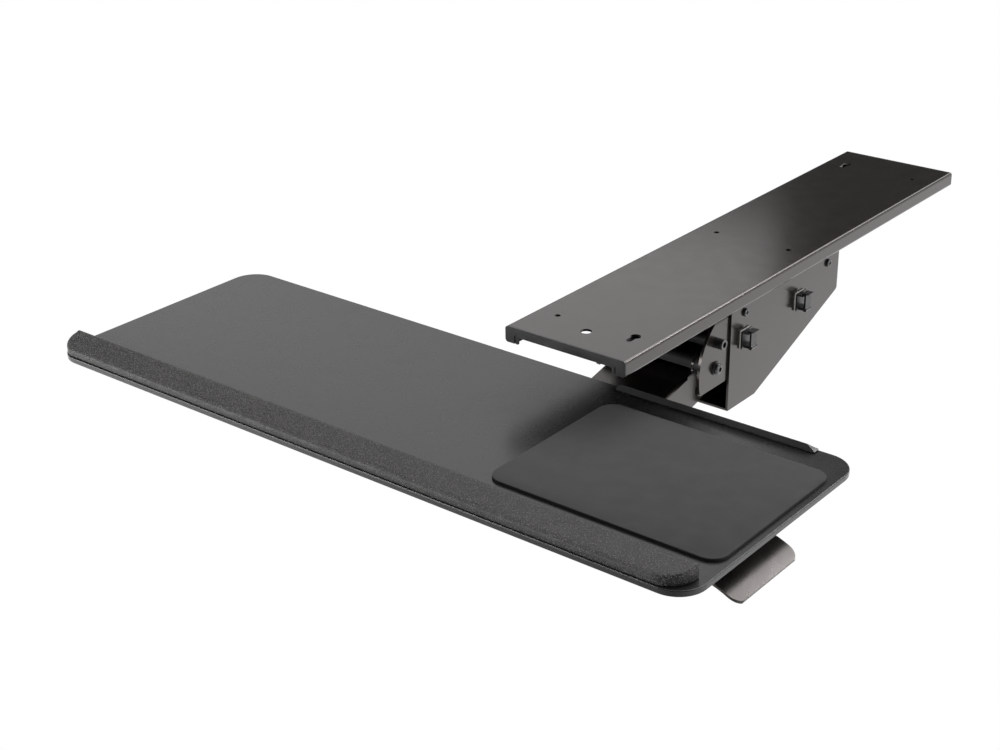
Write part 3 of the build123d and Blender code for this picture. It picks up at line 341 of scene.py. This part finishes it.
# Wet paint on the gas spring's tube, smooth and glossy
TUBE_PAINT = Finish("gloss_black_tube_paint", "#161617", "#1b1b1c", 0.2, Pattern.POWDER, 3.0, 0.004)
# Natural nylon glides and discs: off-white and waxy
NYLON = Finish("natural_nylon", "#cfcabb", "#dad6c9", 0.42, Pattern.MOULDED, 0.9, 0.01, ior=1.53)
# Nylon bushes and sleeves inside the frame, coloured near black as painted shade for the dark inside the
# frame
SHADED_NYLON = Finish("nylon_painted_shade", "#161514", "#1d1c1a", 0.5, Pattern.MOULDED, 0.9, 0.01,
                       specular=0.3)
# Polyurethane foam with its own pebbled skin; the pebbles are about 1.1 mm across, and their tops are
# painted light grey over near black as a painted highlight
FOAM_SKIN = Finish("pebbled_foam_skin", "#080808", "#7c7975", 0.5, Pattern.SKINNED, 1.1, 0.6,
                   specular=0.35, sheen=0.05)
# Knitted polyester face of the mouse pad: its loops are too fine to show, so it is an even 0.5 mm grain,
# with its raised tops painted a shade lighter as a painted sheen
PAD_CLOTH = Finish("knitted_pad_cloth", "#272727", "#2f2f2f", 0.85, Pattern.KNITTED, 0.5, 0.05,
                   specular=0.2, sheen=0.1)
# Rubber foam under the cloth, cut at the edge
PAD_RUBBER = Finish("black_pad_rubber", "#151515", "#1c1c1c", 0.75, Pattern.MOULDED, 0.7, 0.03,
                    specular=0.3)
# Closed-cell acrylic foam tape behind the cable clips
FOAM_TAPE = Finish("white_foam_tape", "#d8d6d0", "#e4e2dd", 0.8, Pattern.MOULDED, 0.4, 0.03)

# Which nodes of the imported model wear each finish
DRESSING: dict[Finish, tuple[str, ...]] = {
    POWDER_COAT: ("track", "lift_frame", "spring_cover", "lift_arm", "tilt_bracket", "swivel_plate",
                  "carriage_plate", "paddle_bracket"),
    PADDLE_COAT: ("release_paddle",),
    LAMINATE: ("tray_board",),
    ABS_MOULDING: ("front_end_cap", "rear_end_cap", "front_clip_base", "rear_clip_base",
                   "front_clip_latch", "rear_clip_latch"),
    PVC_STRIP: ("mouse_stop",),
    BLACK_OXIDE: ("cover_screws", "pivot_washers", "pivot_screws", "tie_screws", "tie_collars", "clip_pins",
                  "paddle_screws", "plate_screws", "stop_screws", "paddle_pin"),
    ZINC_PLATE: ("neck_spacers", "carriage_bolts", "tilt_bolt", "tilt_nut", "tilt_washers",
                 "swivel_stud", "swivel_washer", "swivel_nut"),
    SHADED_ZINC: ("pivot_shaft", "tie_rod", "crank_pin", "anchor_pin", "anchor_clips"),
    HARD_CHROME: ("gas_spring_rod",),
    SPRING_STEEL: ("paddle_spring",),
    TUBE_PAINT: ("gas_spring_tube",),
    NYLON: ("track_glides", "slip_disc", "friction_discs"),
    SHADED_NYLON: ("arm_bushes", "pivot_sleeves", "crank_sleeves", "anchor_sleeves"),
    FOAM_TAPE: ("clip_pads",),
}


def pick_nothing() -> None:
    """Leaves edit mode if it is on and deselects every object."""
    if bpy.context.object and bpy.context.object.mode != "OBJECT":
        bpy.ops.object.mode_set(mode="OBJECT")
    bpy.ops.object.select_all(action="DESELECT")


def make_active(piece: bpy.types.Object) -> None:
    """Selects one object alone and makes it the active one."""
    pick_nothing()
    piece.select_set(True)
    bpy.context.view_layer.objects.active = piece


def apply_place(piece: bpy.types.Object) -> None:
    """Moves an object's place, turn and scale into its mesh."""
    make_active(piece)
    bpy.ops.object.transform_apply(location=True, rotation=True, scale=True)


def smooth_by_angle(piece: bpy.types.Object, degrees: float) -> None:
    """Shades a piece smooth, but keeps the edges that turn more than the angle sharp."""
    make_active(piece)
    bpy.ops.object.shade_smooth_by_angle(angle=math.radians(degrees))


def round_edges(
    piece: bpy.types.Object, radius: float, segments: int, wanted: Callable[[Vector, Vector], bool]
) -> None:
    """Bevels the edges of a block that a rule picks by their two ends.

    Args:
        piece: The block.
        radius: The round's radius, in metres.
        segments: How many facets the round has.
        wanted: Says from an edge's two ends whether it is rounded.
    """
    make_active(piece)
    bpy.ops.object.mode_set(mode="EDIT")
    bpy.ops.mesh.select_mode(type="EDGE")
    bpy.ops.mesh.select_all(action="DESELECT")
    bpy.ops.object.mode_set(mode="OBJECT")
    points = piece.data.vertices
    for edge in piece.data.edges:
        one, two = (points[i].co for i in edge.vertices)
        edge.select = wanted(one, two)
    bpy.ops.object.mode_set(mode="EDIT")
    bpy.ops.mesh.bevel(offset=radius, offset_type="OFFSET", segments=segments, profile=0.5)
    bpy.ops.object.mode_set(mode="OBJECT")


def stands(one: Vector, two: Vector, upright: float = 0.9) -> bool:
    """Says whether an edge is upright, from the height of its unit direction."""
    return abs((two - one).normalized().z) > upright


def block(name: str, low: Vector, high: Vector) -> bpy.types.Object:
    """Makes a box between two corners, with its place in its mesh."""
    pick_nothing()
    bpy.ops.mesh.primitive_cube_add(size=1, location=(low + high) / 2, scale=high - low)
    piece = bpy.context.object
    piece.name = name
    apply_place(piece)
    return piece


@dataclass
class RigidNodes:
    """The CAD nodes whose solids are already right, which only need their finishes."""

    nodes: dict[str, bpy.types.Object]

    def dress(self) -> None:
        """Gives every rigid node its finish."""
        for finish, names in DRESSING.items():
            material = finish.build()
            for name in names:
                mesh = self.nodes[name].data
                mesh.materials.clear()
                mesh.materials.append(material)
                log.info("%s: %s", name, finish.name)


@dataclass
class WristRest:
    """Moulded foam bar along the tray's front edge: low at the front, upright and taller at the rear."""

    node: str = "wrist_rest"
    body: str = "tray"
    depth_mm: float = 26.7
    crest_mm: float = 7.8
    rear_mm: float = 12.1
    corner_mm: float = 23.0
    corner_segments: int = 14
    crest_round_mm: float = 2.6
    crest_segments: int = 6
    rear_round_mm: float = 1.8
    rear_segments: int = 3
    voxel_mm: float = 1.2
    skin_passes: int = 2
    skin_factor: float = 0.5
    near_mm: float = 0.01
    rim_near_mm: float = 0.05
    below_crest_mm: float = 0.5

    def build(self) -> bpy.types.Object:
        """Makes the rest from a block: corners, slope and rounds, then one even skin over them.

        Returns:
            The finished rest.
        """
        low, high = (Vector(corner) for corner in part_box(self.node))
        high.y = low.y + self.depth_mm * MM
        high.z = low.z + self.rear_mm * MM
        piece = block("foam_wrist_rest", low, high)
        near = self.near_mm * MM
        round_edges(
            piece, self.corner_mm * MM, self.corner_segments,
            lambda one, two: stands(one, two) and one.y < high.y - near,
        )
        self.slope(piece, low, high)
        round_edges(
            piece, self.rear_round_mm * MM, self.rear_segments,
            lambda one, two: min(one.z, two.z) > high.z - near and min(one.y, two.y) > high.y - near,
        )
        lowest_top = low.z + (self.crest_mm - self.below_crest_mm) * MM
        round_edges(
            piece, self.crest_round_mm * MM, self.crest_segments,
            lambda one, two: min(one.z, two.z) > lowest_top
            and self.on_rim(one, low, high)
            and self.on_rim(two, low, high)
            and min(one.y, two.y) < high.y - self.rear_round_mm * MM - near,
        )
        self.skin(piece, low, high)
        piece.data.materials.append(FOAM_SKIN.build())
        make_active(piece)
        bpy.ops.object.shade_smooth()
        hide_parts(self.node)
        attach(piece, self.body)
        return piece

    def slope(self, piece: bpy.types.Object, low: Vector, high: Vector) -> None:
        """Lowers the top evenly towards the front.

        Args:
            piece: The block.
            low: Its lowest corner.
            high: Its highest corner.
        """
        middle = (low.z + high.z) / 2
        for vertex in piece.data.vertices:
            if vertex.co.z > middle:
                share = (vertex.co.y - low.y) / (high.y - low.y)
                vertex.co.z = low.z + (self.crest_mm + share * (self.rear_mm - self.crest_mm)) * MM

    def on_rim(self, point: Vector, low: Vector, high: Vector) -> bool:
        """Says whether a point lies on the bar's outline in plan, at its front, corners or ends.

        Args:
            point: The point.
            low: The bar's lowest corner.
            high: Its highest corner.

        Returns:
            True on the outline, False inside it and along its rear.
        """
        near = self.rim_near_mm * MM
        corner = self.corner_mm * MM
        beyond_left = low.x + corner - point.x
        beyond_right = point.x - (high.x - corner)
        across = max(beyond_left, beyond_right, 0.0)
        ahead = max(low.y + corner - point.y, 0.0)
        if across > 0 and ahead > 0:
            return math.hypot(across, ahead) > corner - near
        return across > corner - near or ahead > corner - near

    def skin(self, piece: bpy.types.Object, low: Vector, high: Vector) -> None:
        """Gives the bar one even mesh, softens its arrises and keeps it flat on the board.

        Args:
            piece: The shaped bar.
            low: Its lowest corner.
            high: Its highest corner.
        """
        make_active(piece)
        remesh = piece.modifiers.new("even_skin", "REMESH")
        remesh.mode = "VOXEL"
        remesh.voxel_size = self.voxel_mm * MM
        bpy.ops.object.modifier_apply(modifier=remesh.name)
        smooth = piece.modifiers.new("soft_arrises", "SMOOTH")
        smooth.factor = self.skin_factor
        smooth.iterations = self.skin_passes
        bpy.ops.object.modifier_apply(modifier=smooth.name)
        for vertex in piece.data.vertices:
            for axis in range(3):
                vertex.co[axis] = min(max(vertex.co[axis], low[axis]), high[axis])


@dataclass
class MousePad:
    """Cloth-faced rubber mat, laid on the board."""

    node: str = "mouse_pad"
    body: str = "tray"
    corner_mm: float = 14.0
    corner_segments: int = 10
    rim_mm: float = 0.7
    rim_segments: int = 3
    near_mm: float = 0.01
    facing_up: float = 0.3
    sharp_degrees: float = 40.0

    def build(self) -> bpy.types.Object:
        """Makes the mat from a block: corners rounded, top edge rolled, cloth above and rubber below.

        Returns:
            The finished mat.
        """
        low, high = (Vector(corner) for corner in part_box(self.node))
        piece = block("cloth_mouse_pad", low, high)
        round_edges(piece, self.corner_mm * MM, self.corner_segments, stands)
        lowest_top = high.z - self.near_mm * MM
        round_edges(
            piece, self.rim_mm * MM, self.rim_segments, lambda one, two: min(one.z, two.z) > lowest_top
        )
        piece.data.materials.append(PAD_CLOTH.build())
        piece.data.materials.append(PAD_RUBBER.build())
        for face in piece.data.polygons:
            face.material_index = 0 if face.normal.z > self.facing_up else 1
        smooth_by_angle(piece, self.sharp_degrees)
        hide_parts(self.node)
        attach(piece, self.body)
        return piece


def soft_step(
    tree: bpy.types.NodeTree, value: bpy.types.NodeSocket, start: float, full: float, strength: float
) -> bpy.types.NodeSocket:
    """Adds a node that rises smoothly from nothing to a strength as its value goes from start to full.

    Args:
        tree: The tree that takes the node.
        value: The socket that drives it.
        start: The value where it starts to rise.
        full: The value where it is full.
        strength: What it gives there.

    Returns:
        The socket with the result.
    """
    return add_node(
        tree,
        "ShaderNodeMapRange",
        {"interpolation_type": "SMOOTHSTEP", "From Min": start, "From Max": full, "To Min": 0.0,
         "To Max": strength},
        {"Value": value},
    ).outputs["Result"]


def unseen_light(
    tree: bpy.types.NodeTree, seen: bpy.types.NodeSocket, other: bpy.types.NodeSocket
) -> bpy.types.NodeSocket:
    """Gives the camera plain white at strength 1 and every other ray another strength.

    Args:
        tree: The tree that takes the node.
        seen: 1 for the camera's rays and 0 for the others.
        other: The strength for the other rays.

    Returns:
        The socket with the strength.
    """
    return add_node(tree, "ShaderNodeMix", {"data_type": "FLOAT", 3: 1.0}, {0: seen, 2: other}).outputs[0]


@dataclass(frozen=True)
class SoftBox:
    """One rectangular lamp: where it hangs, in metres, its width and height, its power and its aim."""

    name: str
    place: Point
    size: tuple[float, float]
    watts: float
    aim: Point = (-0.05, -0.2, -0.05)

    def hang(self) -> None:
        """Adds the lamp to the scene, turned towards its aim."""
        data = bpy.data.lights.new(self.name, "AREA")
        data.shape = "RECTANGLE"
        data.size, data.size_y = self.size
        data.energy = self.watts
        lamp = bpy.data.objects.new(self.name, data)
        lamp.location = self.place
        lamp.rotation_euler = (Vector(self.aim) - Vector(self.place)).to_track_quat("-Z", "Y").to_euler()
        bpy.context.scene.collection.objects.link(lamp)


@dataclass(frozen=True)
class Lobe:
    """One bright side of the world: its direction, its strength, and the cosines of its two edges."""

    aim: Point
    start: float
    full: float
    strength: float

    def build(self, tree: bpy.types.NodeTree, way: bpy.types.NodeSocket) -> bpy.types.NodeSocket:
        """Adds the nodes that give the lobe's light in each direction.

        Args:
            tree: The world's tree.
            way: The direction looked in.

        Returns:
            The socket with the light's strength.
        """
        cosine = add_node(
            tree,
            "ShaderNodeVectorMath",
            {"operation": "DOT_PRODUCT", 1: Vector(self.aim).normalized()},
            {0: way},
        ).outputs["Value"]
        return soft_step(tree, cosine, self.start, self.full, self.strength)


@dataclass
class Studio:
    """Camera, lamps, floor and world."""

    place: Point = (0.76331, -1.30616, 0.57107)
    azimuth: float = 39.1186
    elevation: float = 25.1664
    roll: float = -0.8532
    lens: float = 62.918
    sensor: float = 36.0
    clip_start: float = 0.05
    floor_z: float = -0.72
    floor_size: float = 14.0
    floor_roughness: float = 0.9
    floor_glow: float = 2.0
    glow_share: float = 0.5
    dark_spot: Point = (0.1, -1.2, 0.0)
    dark_radius: float = 0.6
    glow_radius: float = 1.5
    ambient: float = 0.05
    lobes: tuple[Lobe, ...] = (
        Lobe((0.62, 0.66, -0.42), 0.45, 0.92, 1.5),
        Lobe((0.02, 0.70, 0.71), 0.92, 0.985, 5.4),
    )
    boxes: tuple[SoftBox, ...] = (
        SoftBox("overhead_box", (-0.2, 0.5, 2.4), (2.6, 2.2), 50.0),
        SoftBox("right_box", (2.3, 0.3, 0.5), (1.8, 1.6), 24.0),
        SoftBox("front_box", (-1.6, -2.0, -0.05), (1.6, 1.0), 50.0),
        SoftBox("rear_box", (-1.8, 1.2, 1.2), (2.3, 1.4), 13.0, (-1.8, -5.0, 1.2)),
        SoftBox("bend_strip", (0.93, 1.5, 1.2), (0.6, 0.16), 9.0),
        SoftBox("rim_strip", (-1.25, -1.28, 1.5), (1.3, 0.16), 26.0),
    )

    def camera(self) -> None:
        """Places the camera where the photograph was taken from."""
        turn, fall, roll = (math.radians(angle) for angle in (self.azimuth, self.elevation, self.roll))
        ahead = Vector(
            (-math.sin(turn) * math.cos(fall), math.cos(turn) * math.cos(fall), -math.sin(fall))
        )
        right = Vector((math.cos(turn), math.sin(turn), 0))
        up = right.cross(ahead)
        across = math.cos(roll) * right + math.sin(roll) * up
        above = math.cos(roll) * up - math.sin(roll) * right
        data = bpy.data.cameras.new("photo_camera")
        data.lens = self.lens
        data.sensor_width = self.sensor
        data.clip_start = self.clip_start
        camera = bpy.data.objects.new("photo_camera", data)
        camera.matrix_world = Matrix.Translation(self.place) @ Matrix(
            [[across[i], above[i], -ahead[i]] for i in range(3)]
        ).to_4x4()
        bpy.context.scene.collection.objects.link(camera)
        bpy.context.scene.camera = camera

    def light(self) -> None:
        """Hangs the lamps: four soft boxes around the object and two strips that light its edges."""
        for box in self.boxes:
            box.hang()

    def world(self) -> None:
        """Makes a white backdrop for the camera and a studio with dark and bright sides for reflections."""
        world = bpy.data.worlds.new("studio")
        bpy.context.scene.world = world
        world.use_nodes = True
        tree = world.node_tree
        way = add_node(tree, "ShaderNodeTexCoord").outputs["Generated"]
        total = add_node(tree, "ShaderNodeMath", {"operation": "ADD", 0: self.ambient, 1: 0.0}).outputs[0]
        for lobe in self.lobes:
            glow = lobe.build(tree, way)
            total = add_node(tree, "ShaderNodeMath", {"operation": "ADD"}, {0: glow, 1: total}).outputs[0]
        seen = add_node(tree, "ShaderNodeLightPath").outputs["Is Camera Ray"]
        background = tree.nodes["Background"]
        tree.links.new(unseen_light(tree, seen, total), background.inputs["Strength"])
        background.inputs["Color"].default_value = (1, 1, 1, 1)

    def floor(self) -> None:
        """Lays the white floor, which glows into the faces that mirror it, but for a dark spot in front."""
        pick_nothing()
        bpy.ops.mesh.primitive_plane_add(size=self.floor_size, location=(0, 0, self.floor_z))
        floor = bpy.context.object
        floor.name = "studio_floor"
        material = bpy.data.materials.new("white_paper_sweep")
        material.use_nodes = True
        tree = material.node_tree
        shader = tree.nodes["Principled BSDF"]
        shader.inputs["Base Color"].default_value = linear("#f4f4f4")
        shader.inputs["Roughness"].default_value = self.floor_roughness
        seen = add_node(tree, "ShaderNodeLightPath").outputs["Is Camera Ray"]
        place = add_node(tree, "ShaderNodeTexCoord").outputs["Object"]
        apart = add_node(
            tree, "ShaderNodeVectorMath", {"operation": "DISTANCE", 1: self.dark_spot}, {0: place}
        ).outputs["Value"]
        around = soft_step(tree, apart, self.dark_radius, self.glow_radius, self.floor_glow)
        glow = unseen_light(tree, seen, around)
        white = add_node(tree, "ShaderNodeEmission", {}, {"Strength": glow}).outputs[0]
        share = add_node(
            tree,
            "ShaderNodeMath",
            {"operation": "MULTIPLY_ADD", 1: 1 - self.glow_share, 2: self.glow_share},
            {0: seen},
        ).outputs[0]
        mixed = add_node(
            tree, "ShaderNodeMixShader", {}, {0: share, 1: shader.outputs[0], 2: white}
        ).outputs[0]
        tree.links.new(mixed, tree.nodes["Material Output"].inputs["Surface"])
        floor.data.materials.append(material)


def main() -> None:
    """Builds the scene: camera, finishes, soft pieces, then the studio."""
    logging.basicConfig(level=logging.INFO, format="%(name)s: %(message)s")
    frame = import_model()
    bpy.context.scene.view_settings.view_transform = "Standard"
    studio = Studio()
    studio.camera()
    RigidNodes(frame["nodes"]).dress()
    for piece in (WristRest().build(), MousePad().build()):
        log.info("%s: %d faces", piece.name, len(piece.data.polygons))
    studio.light()
    studio.world()
    studio.floor()


if __name__ == "__main__":
    main()
